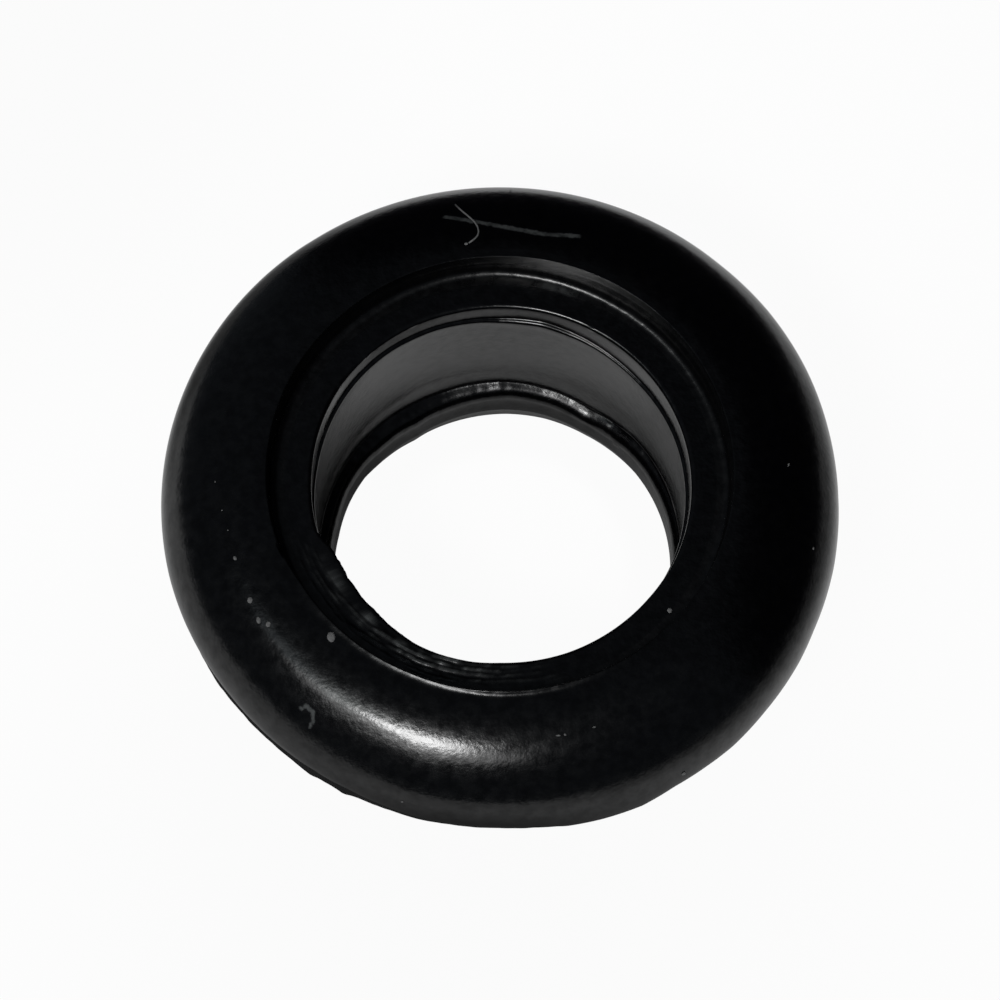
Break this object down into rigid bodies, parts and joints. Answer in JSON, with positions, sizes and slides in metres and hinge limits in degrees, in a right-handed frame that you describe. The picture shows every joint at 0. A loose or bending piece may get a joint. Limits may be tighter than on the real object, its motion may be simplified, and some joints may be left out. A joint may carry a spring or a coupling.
{
  "type": "rubber grommet",
  "caption": "Black rubber grommet that lines a round panel hole, with a domed recessed head, a panel groove, a tapered push-in collar and a bore with an inner lip.",
  "frame": {"origin": "centre of the collar's flat foot, on the axis", "axes": "+Z along the bore axis, from the collar's foot towards the head's crown; X and Y lie in the foot's plane"},
  "size_m": [0.018, 0.018, 0.008],
  "materials": {
    "rubber": "satin moulded black rubber, a little glossy, with dust specks and a fine scratch"
  },
  "bodies": {
    "root": {"grommet": "rubber"}
  },
  "joints": []
}
